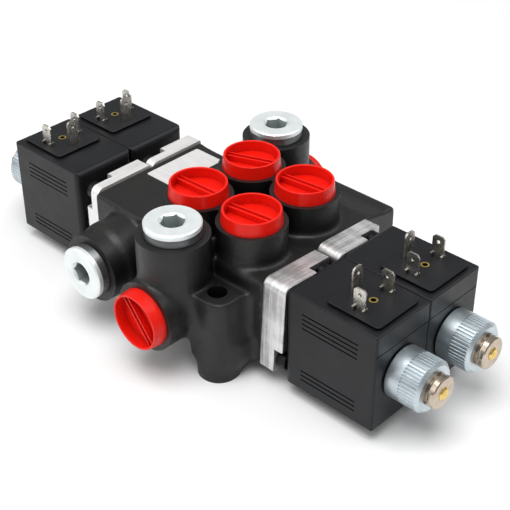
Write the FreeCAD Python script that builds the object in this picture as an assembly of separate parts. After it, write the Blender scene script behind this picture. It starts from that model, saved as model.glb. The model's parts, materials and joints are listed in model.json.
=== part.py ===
import FreeCAD, Part
import math
import os

# Two-spool monoblock solenoid directional valve for mobile hydraulics.
# Millimetres. +X runs along the spools, +Y across them, +Z up.
# The origin lies on the base plane, midway between the two spools and midway
# between the coil pairs.

V = FreeCAD.Vector
SIDES = {"right": 1, "left": -1}
ROWS = {"1": -1, "2": 1}

# ---- driving dimensions -------------------------------------------------
SPOOL_PITCH = 35.0
AXIS_Z = 30.0
SPOOL_R = 7.97
BORE_R = 8.0

# radial gap of a sliding or screwed fit
RUNNING_GAP = 0.05

# how far one solid reaches into the next where two are joined
SEAM = 3.0

# cast body
BODY_HALF_X = 54.0
BODY_HALF_Y = 35.0
DECK_Z = 51.0
BELLY_Z = 8.0
PORT_FACE_Z = 66.0
PORT_BOSS_R = 16.0
COLUMN_R = 16.5
PORT_A_X = -1.5
PORT_B_X = 32.0
COLUMN_X = 14.0
COLUMN_Y = 48.0
SIDE_PORT_Z = 31.0
SIDE_PORT_FACE_Y = 67.0
SPARE_PORT_X = -31.5
SPARE_PORT_FACE_Y = 59.0
SPARE_COLLAR_R = 18.0
SPARE_COLLAR_Y = 50.0
PRESSURE_GALLERY_X = 14.6
TANK_GALLERY_X = (-14.0, 44.5)
GALLERY_R = 4.5
BRIDGE_DROP = 12.0
BRIDGE_R = 4.0
PILOT_R = 2.5
SPARE_GALLERY_Y = -38.0
RELIEF_FEED_Y = 27.0
RELIEF_DRAIN_Y = 36.0
BODY_CORNER_R = 3.0
BODY_FOOT = (44.0, 20.0, 6.0)
BORE_GROOVE = (7.0, 3.5)

# lugs and relief block
LUG_X = 36.5
LUG_Y = 44.0
LUG_HALF = (10.0, 9.0)
LUG_TOP_Z = 43.5
LUG_CORNER_R = 6.0
LUG_FOOT_R = 9.8
WEB_THICKNESS = 15.0
WEB_BOTTOM_Z = 16.0
LUG_HOLE_R = 4.5
RELIEF_BLOCK = (12.0, 54.0, 34.0, 58.0)
RELIEF_BLOCK_TOP = 47.5
RELIEF_CORNER_R = 4.0
RELIEF_X = 34.0
RELIEF_Z = 31.0
RELIEF_FACE_Y = 58.0
RELIEF_BORE_R = 8.05
RELIEF_SEAT_R = 6.0
RELIEF_BORE_DEPTH = (14.0, 30.0)

# relief cartridge, measured from the block's face
RELIEF_HEX = 17.0
RELIEF_HEX_H = 5.0
RELIEF_SEAT_Z = 10.0
RELIEF_GUIDE_R = 4.4
RELIEF_STEM_R = 3.0
RELIEF_DRAIN_R = 1.2
RELIEF_NOSE_R = (2.0, 4.0)
RELIEF_NOSE_H = 3.0
RELIEF_NOSE_DROP = 0.7
RELIEF_POPPET_H = 5.0
RELIEF_ADJUSTER_Z = (-8.0, -5.0, 12.0)
RELIEF_SLOT = (1.0, 1.2)
RELIEF_NUT_HEX = 11.0
RELIEF_NUT_H = 4.5
RELIEF_SPRING = (3.2, 0.8, 3.5)

# G1/2 port threads, drawn as plain bores
PORT_THREAD_R = 10.45
PORT_THREAD_DEPTH = 16.0
PORT_DRILL_R = 7.5
PORT_LEAD_IN = 1.0
SIDE_PORT_DEPTH = 28.0
SPARE_PORT_DEPTH = 24.0

# plastic port caps
CAP_RIM_R = 13.45
CAP_FLANGE_R = 14.1
CAP_HEIGHT = 6.3
CAP_WALL = 1.1
CAP_FLOOR_DEPTH = 5.2
CAP_BAR_HALF_Y = 1.7
CAP_BAR_GROOVE = (1.0, 1.0)
CAP_BAR_DROP = 2.3
CAP_EDGE_R = 0.35
CAP_SHANK_R = 10.35
CAP_SHANK_LENGTH = 9.0
CAP_SHANK_WALL = 1.4

# steel hexagon-socket plugs with bonded seals
PLUG_COLLAR_R = 13.0
PLUG_COLLAR_H = 2.6
PLUG_SHANK_R = 10.4
PLUG_SHANK_LENGTH = 14.0
PLUG_HEX = 10.0
PLUG_HEX_DEPTH = 7.0
PLUG_EDGE = 0.6
PLUG_LEAD_IN = (5.2, 6.2, 1.0)
BONDED_SEAL_R = 13.0
BONDED_SEAL_H = 3.9

# solenoid flanges: outer face, notch floor and tilt about the spool axis
FLANGE_FACE = {"right": 66.5, "left": 63.0}
FLANGE_NOTCH = {"right": 62.0, "left": 59.0}
FLANGE_TILT = {"right": -3.0, "left": 0.0}
FLANGE_HALF_Y = 17.0
FLANGE_HALF_Z = 23.0
FLANGE_SCREW = (11.5, 17.5)
FLANGE_NOTCH_SIZE = (14.0, 12.5)
FLANGE_BORE_R = 10.3
FLANGE_CORNER_R = 4.0
FLANGE_SMALL_R = 1.0
FLANGE_EDGE = 0.4
SEAL_GROOVE = (9.4, 11.6, 1.3)
SEAL_RING = (10.5, 0.65)
SCREW_R = 2.5
SCREW_HOLE_R = 2.75
SCREW_HEAD_R = 4.25
SCREW_HEAD_H = 5.0
SCREW_DEPTH = 10.0
SCREW_EDGE = 0.5
SCREW_HEX = 4.0
SCREW_HEX_DEPTH = 2.5

# solenoid tube, armature and override pin
TUBE_R = 7.5
TUBE_BASE_R = 10.25
TUBE_COLLAR_R = 11.5
TUBE_BASE_X = 54.6
CAVITY_R = 8.6
CAVITY_END_X = 67.0
POLE_FACE_X = 92.0
ARMATURE_CAVITY_R = 6.15
ARMATURE_CAVITY_END_X = 134.0
ARMATURE_R = 6.1
ARMATURE_X = (96.0, 126.0)
ARMATURE_EDGE = 0.6
ARMATURE_VENT = (1.6, 1.2)
TUBE_NECK_X = (134.7, 135.7)
TUBE_NECK_R = 6.7
TUBE_END_X = 139.0
TUBE_EDGE = 0.5
TUBE_FLAT_END = 1.6
TUBE_FLAT_DEPTH = 1.3
OVERRIDE_R = 3.0
OVERRIDE_HEAD_R = 4.5
OVERRIDE_HEAD_X = (132.3, 133.9)
OVERRIDE_END_X = 139.8
OVERRIDE_END = (0.7, 1.2, 0.5)
PUSH_PIN_R = 1.9
SPOOL_END_X = 59.2
SPOOL_NOSE_R = 4.0
SPOOL_RECESS = (5.0, 2.4)
SPOOL_RECESS_X = (-8.75, 6.85, 23.65, 39.25)
SPOOL_BALANCE_X = (-46.0, -38.0, 46.75)
SPOOL_BALANCE = (0.8, 0.5)
SEAT_X = (57.7, 59.2)
SEAT_R = 8.2
SPRING_MEAN_R = 6.6
SPRING_WIRE = 0.9
SPRING_TURNS = 2.75

# coil
COIL_FACE = (68.2, 117.2)
COIL_HALF_Y = 17.4
COIL_Z = (6.3, 56.1)
COIL_BORE_R = 7.56
COIL_VALVE_SIDE_R = 3.0
COIL_OUTER_R = 1.0
COIL_TOP_R = 0.8
PARTING_Z = 46.0
PAD_X = (86.5, 114.5)
PAD_HALF_Y = 13.6
PAD_H = 1.4
PAD_NECK_H = 0.8
PAD_OVERHANG = 0.7
PAD_CORNER_R = 2.0
PAD_EDGE = 0.2
GRIP_Z = (17.6, 15.2, 12.8, 10.4, -12.6, -15.0, -17.4)
GRIP_X = (77.5, 107.5)
GRIP_W = 0.7
GRIP_DEPTH = 0.45
PARTING_W = 0.4
INSERT_X = 100.8
CONTACT_Y = 9.0
GROUND_X = 91.8
BLADE_W = 6.3
BLADE_T = 0.8
CONTACT_H = 10.5
GROUND_H = 13.0
BLADE_ROOT = 6.0
CONTACT_TIP = 1.2
CONTACT_HOLE = (3.0, 0.9)
CONTACT_FOOT = (1.0, 3.0, 1.4)
GROUND_TIP_R = 2.4
GROUND_HOLE = (3.4, 1.0)
INSERT_R = 2.0
INSERT_LENGTH = 6.5
INSERT_PROUD = 0.2
INSERT_THREAD_R = 1.25
INSERT_THREAD_DEPTH = 5.7
YOKE_PLATE = 4.0
YOKE_HALF = (15.0, 18.0)
YOKE_INSET = 2.0
WINDING_R = (8.6, 14.0)
WINDING_INSET = 7.0

# coil nut
NUT_X = (117.5, 134.5)
NUT_R = 12.0
NUT_KNURL_X = (124.5, 132.9)
NUT_RIDGES = 48
KNURL_GROOVE_R = 0.45
NUT_EDGE = (0.3, 1.6)
NUT_SEAL_X = (117.2, 118.6)
NUT_SEAL_RING = (8.26, 0.68)

# label
LABEL_BOX = (-51.0, -33.0, -5.5, 29.0)
LABEL_T = 0.4
LABEL_CORNER_R = 1.0


# ---- helpers ------------------------------------------------------------
def box(x0, x1, y0, y1, z0, z1):
    corner = V(min(x0, x1), min(y0, y1), min(z0, z1))
    return Part.makeBox(abs(x1 - x0), abs(y1 - y0), abs(z1 - z0), corner)


def rod(start, direction, radius, length):
    return Part.makeCylinder(radius, length, V(*start), V(*direction))


def rod_x(x0, x1, y, z, radius):
    return rod((min(x0, x1), y, z), (1, 0, 0), radius, abs(x1 - x0))


def rod_y(y0, y1, x, z, radius):
    return rod((x, min(y0, y1), z), (0, 1, 0), radius, abs(y1 - y0))


def rod_z(z0, z1, x, y, radius):
    return rod((x, y, min(z0, z1)), (0, 0, 1), radius, abs(z1 - z0))


def fuse(shapes):
    first = shapes[0]
    result = first.fuse(shapes[1:]) if len(shapes) > 1 else first
    return result.removeSplitter()


def cut(shape, tools):
    return shape.cut(tools).removeSplitter()


def edges_along(shape, direction):
    found = []
    for edge in shape.Edges:
        if isinstance(edge.Curve, (Part.Line, Part.LineSegment)):
            step = edge.valueAt(edge.LastParameter) - edge.valueAt(edge.FirstParameter)
            if abs(step.normalize().dot(V(*direction))) > 0.999:
                found.append(edge)
    return found


def edges_at(shape, x=None, y=None, z=None, along=None):
    """Edges whose middle lies on the given coordinates, either side of the axis for y."""
    found = []
    for edge in edges_along(shape, along) if along else shape.Edges:
        mid = edge.CenterOfMass
        gaps = [abs(mid.x - x) if x is not None else 0]
        gaps.append(abs(abs(mid.y) - y) if y is not None else 0)
        gaps.append(abs(mid.z - z) if z is not None else 0)
        if max(gaps) < 1e-6:
            found.append(edge)
    return found


def rounded_box(x0, x1, y0, y1, z0, z1, direction, radius):
    block = box(x0, x1, y0, y1, z0, z1)
    return block.makeFillet(radius, edges_along(block, direction))


def revolve_x(points):
    """Solid turned about the X axis from (x, radius) points."""
    outline = [V(x, r, 0) for x, r in points]
    face = Part.Face(Part.makePolygon(outline + outline[:1]))
    return face.revolve(V(0, 0, 0), V(1, 0, 0), 360)


def hexagon(across_flats, height):
    radius = across_flats / math.sqrt(3)
    turns = [math.radians(60 * i) for i in range(7)]
    corners = [V(radius * math.cos(turn), radius * math.sin(turn), 0) for turn in turns]
    return Part.Face(Part.makePolygon(corners)).extrude(V(0, 0, height))


def aim(shape, origin, direction):
    """Moves a shape built along +Z so that it points along direction from origin."""
    placed = shape.copy()
    turn = FreeCAD.Rotation(V(0, 0, 1), V(*direction))
    placed.Placement = FreeCAD.Placement(V(*origin), turn).multiply(placed.Placement)
    return placed


def to_solenoid(shape, side, row):
    """Puts a shape built on the X axis at +X onto one solenoid's axis."""
    placed = shape.copy()
    if side == "left":
        placed.rotate(V(0, 0, 0), V(0, 0, 1), 180)
    placed.translate(V(0, ROWS[row] * SPOOL_PITCH / 2, AXIS_Z))
    return placed


def solenoids():
    return [(side, row) for side in SIDES for row in ROWS]


def save(name, shapes):
    shape = shapes[0] if len(shapes) == 1 else Part.makeCompound(shapes)
    for solid in shape.Solids:
        if not (solid.isValid() and solid.isClosed()):
            raise ValueError("bad solid in " + name)
    shape.exportStep("parts/" + name + ".step")
    print(name, len(shape.Solids), round(shape.Volume))


# ---- cast body ----------------------------------------------------------
def port_columns():
    """Pressure column at the front, tank column at the back, each with a side port."""
    solids = []
    for side in (-1, 1):
        x = -side * COLUMN_X
        y = side * COLUMN_Y
        solids.append(rod_z(SIDE_PORT_Z, PORT_FACE_Z, x, y, COLUMN_R))
        solids.append(rod_y(side * (BODY_HALF_Y - SEAM), side * SIDE_PORT_FACE_Y, x, SIDE_PORT_Z, COLUMN_R))
    return solids


def lugs():
    solids = []
    for side in (-1, 1):
        x = -side * LUG_X
        y = side * LUG_Y
        x0, x1 = x - LUG_HALF[0], x + LUG_HALF[0]
        y0, y1 = y - LUG_HALF[1], y + LUG_HALF[1]
        solids.append(rounded_box(x0, x1, y0, y1, BELLY_Z, LUG_TOP_Z, (0, 0, 1), LUG_CORNER_R))
        solids.append(rod_z(0, BELLY_Z + SEAM, x, y, LUG_FOOT_R))
        wall = side * BODY_HALF_Y
        outer = wall + side * WEB_THICKNESS
        solids.append(box(x, -side * COLUMN_X, wall - side * SEAM, outer, WEB_BOTTOM_Z, LUG_TOP_Z - SEAM))
    return solids


def cast_outside():
    x, y = BODY_HALF_X, BODY_HALF_Y
    solids = [rounded_box(-x, x, -y, y, BELLY_Z, DECK_Z, (0, 0, 1), BODY_CORNER_R)]
    foot_x, foot_y, foot_r = BODY_FOOT
    solids.append(rounded_box(-foot_x, foot_x, -foot_y, foot_y, 0, BELLY_Z, (0, 0, 1), foot_r))
    for port_x in (PORT_A_X, PORT_B_X):
        for row in ROWS.values():
            port_y = row * SPOOL_PITCH / 2
            solids.append(rod_z(DECK_Z - SEAM, PORT_FACE_Z, port_x, port_y, PORT_BOSS_R))
    solids += port_columns()
    wall = -BODY_HALF_Y + SEAM
    solids.append(rod_y(wall, -SPARE_COLLAR_Y, SPARE_PORT_X, SIDE_PORT_Z, SPARE_COLLAR_R))
    solids.append(rod_y(wall, -SPARE_PORT_FACE_Y, SPARE_PORT_X, SIDE_PORT_Z, COLUMN_R))
    x0, x1, y0, y1 = RELIEF_BLOCK
    solids.append(rounded_box(x0, x1, y0, y1, BELLY_Z, RELIEF_BLOCK_TOP, (0, 0, 1), RELIEF_CORNER_R))
    solids += lugs()
    return fuse(solids)


def threaded_port(face, inward, bottom_depth):
    """Port thread with a lead-in chamfer and the smaller drilling behind it."""
    thread = rod(face, inward, PORT_THREAD_R, PORT_THREAD_DEPTH)
    drill = rod(face, inward, PORT_DRILL_R, bottom_depth)
    cone = Part.makeCone(PORT_THREAD_R + PORT_LEAD_IN, PORT_THREAD_R, PORT_LEAD_IN)
    lead_in = aim(cone, face, inward)
    return [thread, drill, lead_in]


def port_cuts():
    tools = []
    depth = PORT_FACE_Z - AXIS_Z
    for port_x in (PORT_A_X, PORT_B_X):
        for row in ROWS.values():
            tools += threaded_port((port_x, row * SPOOL_PITCH / 2, PORT_FACE_Z), (0, 0, -1), depth)
    for side in (-1, 1):
        x = -side * COLUMN_X
        tools += threaded_port((x, side * COLUMN_Y, PORT_FACE_Z), (0, 0, -1), PORT_FACE_Z - SIDE_PORT_Z)
        tools += threaded_port((x, side * SIDE_PORT_FACE_Y, SIDE_PORT_Z), (0, -side, 0), SIDE_PORT_DEPTH)
    spare_face = (SPARE_PORT_X, -SPARE_PORT_FACE_Y, SIDE_PORT_Z)
    tools += threaded_port(spare_face, (0, 1, 0), SPARE_PORT_DEPTH)
    return tools


def gallery_cuts():
    """Pressure, tank and relief drillings between the ports and the spool bores."""
    half_pitch = SPOOL_PITCH / 2
    tank_left, tank_right = TANK_GALLERY_X
    bridge_z = AXIS_Z - BRIDGE_DROP
    relief_seat_y = RELIEF_FACE_Y - RELIEF_BORE_DEPTH[1]
    return [
        rod_y(-COLUMN_Y, half_pitch, PRESSURE_GALLERY_X, AXIS_Z, GALLERY_R),
        rod_y(SPARE_GALLERY_Y, COLUMN_Y, tank_left, AXIS_Z, GALLERY_R),
        rod_y(-half_pitch, half_pitch, tank_right, AXIS_Z, GALLERY_R),
        rod_z(bridge_z, AXIS_Z, tank_left, 0, BRIDGE_R),
        rod_z(bridge_z, AXIS_Z, tank_right, 0, BRIDGE_R),
        rod_x(tank_left, tank_right, 0, bridge_z, BRIDGE_R),
        rod_x(SPARE_PORT_X, tank_left, SPARE_GALLERY_Y, SIDE_PORT_Z, BRIDGE_R),
        rod_y(half_pitch, relief_seat_y, RELIEF_X, RELIEF_Z, PILOT_R),
        rod_x(PRESSURE_GALLERY_X, RELIEF_X, RELIEF_FEED_Y, RELIEF_Z, PILOT_R),
        rod_y(half_pitch, RELIEF_FEED_Y, PRESSURE_GALLERY_X, RELIEF_Z, PILOT_R),
        rod_x(tank_left, RELIEF_X, RELIEF_DRAIN_Y, RELIEF_Z, PILOT_R),
    ]


def spool_bore_cuts():
    tools = []
    grooves = (TANK_GALLERY_X[0], PORT_A_X, PRESSURE_GALLERY_X, PORT_B_X, TANK_GALLERY_X[1])
    for row in ROWS.values():
        y = row * SPOOL_PITCH / 2
        tools.append(rod_x(-BODY_HALF_X, BODY_HALF_X, y, AXIS_Z, BORE_R))
        width, depth = BORE_GROOVE
        for x in grooves:
            tools.append(rod_x(x - width / 2, x + width / 2, y, AXIS_Z, BORE_R + depth))
    return tools


def relief_bore_cuts():
    face = RELIEF_FACE_Y
    step, end = RELIEF_BORE_DEPTH
    return [
        rod_y(face - step, face, RELIEF_X, RELIEF_Z, RELIEF_BORE_R),
        rod_y(face - end, face - step, RELIEF_X, RELIEF_Z, RELIEF_SEAT_R),
    ]


def flange_screw_points():
    """Screw centres of one flange, (y, z) from the solenoid axis, before the tilt."""
    y, z = FLANGE_SCREW
    return [(y, z), (-y, -z)]


def tilt(shape, side):
    turned = shape.copy()
    turned.rotate(V(0, 0, 0), V(1, 0, 0), FLANGE_TILT[side])
    return turned


def flange_thread_cuts():
    tools = []
    groove_in, groove_out, groove_depth = SEAL_GROOVE
    for side, row in solenoids():
        for y, z in flange_screw_points():
            hole = rod_x(BODY_HALF_X - SCREW_DEPTH - 2, BODY_HALF_X, y, z, SCREW_R + RUNNING_GAP)
            tools.append(to_solenoid(tilt(hole, side), side, row))
        groove = rod_x(BODY_HALF_X - groove_depth, BODY_HALF_X, 0, 0, groove_out)
        core = rod_x(BODY_HALF_X - groove_depth, BODY_HALF_X, 0, 0, groove_in)
        tools.append(to_solenoid(groove.cut(core), side, row))
    return tools


def valve_body():
    body = cast_outside()
    tools = port_cuts() + gallery_cuts() + spool_bore_cuts() + relief_bore_cuts() + flange_thread_cuts()
    for side in (-1, 1):
        tools.append(rod_z(0, LUG_TOP_Z + 1, -side * LUG_X, side * LUG_Y, LUG_HOLE_R))
    return cut(body, [tools[0].fuse(tools[1:])])


# ---- spools and what rides on them --------------------------------------
def spool(row):
    """Spool with its metering recesses, balance grooves and a nose at each end."""
    body = rod_x(-BODY_HALF_X, BODY_HALF_X, 0, 0, SPOOL_R)
    grooves = [(x, SPOOL_RECESS) for x in SPOOL_RECESS_X] + [(x, SPOOL_BALANCE) for x in SPOOL_BALANCE_X]
    for x, (width, depth) in grooves:
        x0, x1 = x - width / 2, x + width / 2
        ring = rod_x(x0, x1, 0, 0, SPOOL_R + 1)
        body = body.cut(ring.cut(rod_x(x0, x1, 0, 0, SPOOL_R - depth)))
    nose = rod_x(-SPOOL_END_X, SPOOL_END_X, 0, 0, SPOOL_NOSE_R)
    return to_solenoid(fuse([body, nose]), "right", row)


def spring_seat(side, row):
    seat = rod_x(SEAT_X[0], SEAT_X[1], 0, 0, SEAT_R)
    seat = seat.cut(rod_x(SEAT_X[0] - 1, SEAT_X[1] + 1, 0, 0, SPOOL_NOSE_R))
    return to_solenoid(seat, side, row)


def push_pin(side, row):
    pin = rod_x(SPOOL_END_X, ARMATURE_X[0], 0, 0, PUSH_PIN_R)
    return to_solenoid(pin, side, row)


def armature(side, row):
    x0, x1 = ARMATURE_X
    edge = ARMATURE_EDGE
    slug = revolve_x([(x0, 0), (x0, ARMATURE_R - edge), (x0 + edge, ARMATURE_R), (x1 - edge, ARMATURE_R),
                      (x1, ARMATURE_R - edge), (x1, 0)])
    width, depth = ARMATURE_VENT
    vents = []
    for sign in (1, -1):
        inner, outer = sign * (ARMATURE_R - depth), sign * (ARMATURE_R + 1)
        vents.append(box(x0 - 1, x1 + 1, -width / 2, width / 2, inner, outer))
    return to_solenoid(slug.cut(vents), side, row)


def coil_spring(length, mean_r, wire, turns):
    """Helical compression spring along +X from x = 0, centre lines wire/2 inside its ends."""
    pitch = (length - wire) / turns
    helix = Part.makeLongHelix(pitch, length - wire, mean_r)
    profile = Part.Wire(Part.Circle(V(mean_r, 0, 0), V(0, 1, 0), wire / 2).toShape())
    spring = Part.Wire(helix).makePipeShell([profile], True, True)
    spring.rotate(V(0, 0, 0), V(0, 1, 0), 90)
    spring.translate(V(wire / 2, 0, 0))
    return spring


def centring_spring(side, row):
    spring = coil_spring(CAVITY_END_X - SEAT_X[1], SPRING_MEAN_R, SPRING_WIRE, SPRING_TURNS)
    spring.translate(V(SEAT_X[1], 0, 0))
    return to_solenoid(spring, side, row)


# ---- solenoid flanges, tubes and pins -----------------------------------
def solenoid_flange(side, row):
    face = FLANGE_FACE[side]
    y, z = FLANGE_HALF_Y, FLANGE_HALF_Z
    block = box(BODY_HALF_X, face, -y, y, -z, z)
    upper_front = -SIDES[side]
    for sign, radius in ((1, FLANGE_CORNER_R), (-1, FLANGE_SMALL_R)):
        for end in (1, -1):
            corner_y = end * sign * upper_front * y
            corner = [edge for edge in edges_at(block, z=end * z, along=(1, 0, 0))
                      if abs(edge.CenterOfMass.y - corner_y) < 1e-6]
            block = block.makeFillet(radius, corner)
    block = block.makeChamfer(FLANGE_EDGE, edges_at(block, x=face))
    width, height = FLANGE_NOTCH_SIZE
    floor = FLANGE_NOTCH[side]
    tools = [rod_x(BODY_HALF_X - 1, face + 1, 0, 0, FLANGE_BORE_R)]
    for sign in (1, -1):
        notch = box(floor, face + 1, sign * (FLANGE_HALF_Y - width), sign * (FLANGE_HALF_Y + 1),
                    sign * (FLANGE_HALF_Z - height), sign * (FLANGE_HALF_Z + 1))
        tools.append(notch)
    for y, z in flange_screw_points():
        tools.append(rod_x(BODY_HALF_X - 1, face, y, z, SCREW_HOLE_R))
    return to_solenoid(tilt(cut(block, tools), side), side, row)


def flange_screws(side, row):
    floor = FLANGE_NOTCH[side]
    top = floor + SCREW_HEAD_H
    screws = []
    for y, z in flange_screw_points():
        head = rod_x(floor, top, y, z, SCREW_HEAD_R)
        head = head.makeChamfer(SCREW_EDGE, edges_at(head, x=top))
        shank = rod_x(BODY_HALF_X - SCREW_DEPTH, floor, y, z, SCREW_R)
        socket = aim(hexagon(SCREW_HEX, SCREW_HEX_DEPTH + 1), (top - SCREW_HEX_DEPTH, y, z), (1, 0, 0))
        screw = cut(fuse([head, shank]), [socket])
        screws.append(to_solenoid(tilt(screw, side), side, row))
    return screws


def flange_seal(side, row):
    ring_r, cord_r = SEAL_RING
    ring = Part.makeTorus(ring_r, cord_r, V(BODY_HALF_X - cord_r, 0, 0), V(1, 0, 0))
    return to_solenoid(ring, side, row)


def solenoid_tube(side, row):
    """Pressure-tight tube: base in the flange, pole piece, armature space and capped end."""
    face = FLANGE_FACE[side]
    coil_x = COIL_FACE[0]
    neck0, neck1 = TUBE_NECK_X
    end = TUBE_END_X
    edge = TUBE_EDGE
    tube = revolve_x([
        (TUBE_BASE_X, 0), (TUBE_BASE_X, TUBE_BASE_R), (face, TUBE_BASE_R), (face, TUBE_COLLAR_R),
        (coil_x, TUBE_COLLAR_R), (coil_x, TUBE_R), (neck0, TUBE_R), (neck0, TUBE_NECK_R),
        (neck1, TUBE_NECK_R), (neck1, TUBE_R - edge), (neck1 + edge, TUBE_R), (end - edge, TUBE_R),
        (end, TUBE_R - edge), (end, 0)])
    flat = box(neck1, end - TUBE_FLAT_END, TUBE_R - TUBE_FLAT_DEPTH, TUBE_R + 1, -TUBE_R, TUBE_R)
    tools = [
        rod_x(TUBE_BASE_X - 1, CAVITY_END_X, 0, 0, CAVITY_R),
        rod_x(CAVITY_END_X - 1, POLE_FACE_X + 1, 0, 0, PUSH_PIN_R + RUNNING_GAP),
        rod_x(POLE_FACE_X, ARMATURE_CAVITY_END_X, 0, 0, ARMATURE_CAVITY_R),
        rod_x(ARMATURE_CAVITY_END_X - 1, end + 1, 0, 0, OVERRIDE_R + RUNNING_GAP),
        flat,
        flat.mirror(V(0, 0, 0), V(0, 1, 0)),
    ]
    return to_solenoid(cut(tube, tools), side, row)


def override_pin(side, row):
    """Headed pin with a chamfered, slightly dished end."""
    h0, h1 = OVERRIDE_HEAD_X
    end = OVERRIDE_END_X
    chamfer, rim_r, dish = OVERRIDE_END
    pin = revolve_x([(h0, 0), (h0, OVERRIDE_HEAD_R), (h1, OVERRIDE_HEAD_R), (h1, OVERRIDE_R),
                     (end - chamfer, OVERRIDE_R), (end, OVERRIDE_R - chamfer), (end, rim_r), (end - dish, 0)])
    return to_solenoid(pin, side, row)


# ---- coils --------------------------------------------------------------
def coil_yoke():
    """Flux frame: thick end plates joined by thinner top and bottom plates."""
    x0, x1 = COIL_FACE[0] + YOKE_INSET, COIL_FACE[1] - YOKE_INSET
    half_y, half_z = YOKE_HALF
    window_z = half_z - YOKE_PLATE / 2
    frame = box(x0, x1, -half_y, half_y, -half_z, half_z)
    window = box(x0 + YOKE_PLATE, x1 - YOKE_PLATE, -half_y - 1, half_y + 1, -window_z, window_z)
    return cut(frame, [window, rod_x(x0 - 1, x1 + 1, 0, 0, COIL_BORE_R)])


def coil_winding():
    x0, x1 = COIL_FACE[0] + WINDING_INSET, COIL_FACE[1] - WINDING_INSET
    return rod_x(x0, x1, 0, 0, WINDING_R[1]).cut(rod_x(x0 - 1, x1 + 1, 0, 0, WINDING_R[0]))


def blade_contact(y):
    """Flat contact with a bored tip and two feet folded out beside the pad."""
    z = COIL_Z[1] - AXIS_Z + PAD_H
    x0, x1 = INSERT_X - BLADE_W / 2, INSERT_X + BLADE_W / 2
    half_t = BLADE_T / 2
    strip = box(x0, x1, y - half_t, y + half_t, z - BLADE_ROOT, z + CONTACT_H)
    tip = strip.makeChamfer(CONTACT_TIP, edges_at(strip, z=z + CONTACT_H, along=(0, 1, 0)))
    hole_drop, hole_r = CONTACT_HOLE
    hole = rod_y(y - BLADE_T, y + BLADE_T, INSERT_X, z + CONTACT_H - hole_drop, hole_r)
    foot_x, foot_y, foot_z = CONTACT_FOOT
    feet = [box(x, x + foot_x, y - foot_y / 2, y + foot_y / 2, z, z + foot_z) for x in (x0, x1 - foot_x)]
    return cut(fuse([tip] + feet), [hole])


def blade_ground():
    z = COIL_Z[1] - AXIS_Z + PAD_H
    half_t = BLADE_T / 2
    half_w = BLADE_W / 2
    strip = box(GROUND_X - half_t, GROUND_X + half_t, -half_w, half_w, z - BLADE_ROOT, z + GROUND_H)
    tip = strip.makeFillet(GROUND_TIP_R, edges_at(strip, z=z + GROUND_H, along=(1, 0, 0)))
    hole_drop, hole_r = GROUND_HOLE
    return cut(tip, [rod_x(GROUND_X - BLADE_T, GROUND_X + BLADE_T, 0, z + GROUND_H - hole_drop, hole_r)])


def coil_terminals():
    return [blade_contact(CONTACT_Y), blade_contact(-CONTACT_Y), blade_ground()]


def terminal_insert():
    z = COIL_Z[1] - AXIS_Z + PAD_H
    sleeve = rod_z(z - INSERT_LENGTH, z + INSERT_PROUD, INSERT_X, 0, INSERT_R)
    return sleeve.cut(rod_z(z + INSERT_PROUD - INSERT_THREAD_DEPTH, z + 1, INSERT_X, 0, INSERT_THREAD_R))


def coil_block():
    """Moulded outside of a coil: generous corners on the valve's side, small ones elsewhere."""
    z0, z1 = COIL_Z[0] - AXIS_Z, COIL_Z[1] - AXIS_Z
    x0, x1 = COIL_FACE
    block = box(x0, x1, -COIL_HALF_Y, COIL_HALF_Y, z0, z1)
    block = block.makeFillet(COIL_OUTER_R, edges_at(block, x=x1, along=(0, 0, 1)))
    valve_side = edges_at(block, x=x0, along=(0, 0, 1)) + edges_at(block, x=x0, z=z1)
    block = block.makeFillet(COIL_VALVE_SIDE_R, valve_side)
    block = block.makeFillet(COIL_TOP_R, edges_at(block, z=z1, y=COIL_HALF_Y))
    return block.makeChamfer(COIL_TOP_R, edges_at(block, z=z0, x=x1))


def coil_pad():
    """Connector pad: a plate that overhangs a narrower neck."""
    z1 = COIL_Z[1] - AXIS_Z
    x0, x1 = PAD_X
    over = PAD_OVERHANG
    half_y = PAD_HALF_Y
    top = z1 + PAD_H
    corner_r = PAD_CORNER_R - over
    neck = rounded_box(x0 + over, x1 - over, -half_y + over, half_y - over, z1 - 1, top, (0, 0, 1), corner_r)
    plate = rounded_box(x0, x1, -half_y, half_y, z1 + PAD_NECK_H, top, (0, 0, 1), PAD_CORNER_R)
    return fuse([neck, plate.makeChamfer(PAD_EDGE, edges_at(plate, z=top))])


def coil_housing():
    z1 = COIL_Z[1] - AXIS_Z
    x0, x1 = COIL_FACE
    tools = [rod_x(x0 - 1, x1 + 1, 0, 0, COIL_BORE_R), coil_yoke(), coil_winding()]
    parting = PARTING_Z - AXIS_Z
    half_w = PARTING_W / 2
    outer_y = COIL_HALF_Y + 1
    tools.append(box(x1 - PARTING_W, x1 + 1, -outer_y, outer_y, parting - half_w, parting + half_w))
    pad_top = z1 + PAD_H
    root = pad_top - BLADE_ROOT
    half_t, half_b = BLADE_T / 2, BLADE_W / 2
    tools.append(rod_z(pad_top - INSERT_LENGTH, pad_top + 1, INSERT_X, 0, INSERT_R))
    for y in (CONTACT_Y, -CONTACT_Y):
        tools.append(box(INSERT_X - half_b, INSERT_X + half_b, y - half_t, y + half_t, root, pad_top + 1))
    tools.append(box(GROUND_X - half_t, GROUND_X + half_t, -half_b, half_b, root, pad_top + 1))
    for side in (-1, 1):
        floor = side * (COIL_HALF_Y - GRIP_DEPTH)
        for z in GRIP_Z:
            tools.append(box(GRIP_X[0], GRIP_X[1], floor, side * outer_y, z - GRIP_W / 2, z + GRIP_W / 2))
    return cut(fuse([coil_block(), coil_pad()]), tools)


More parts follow.
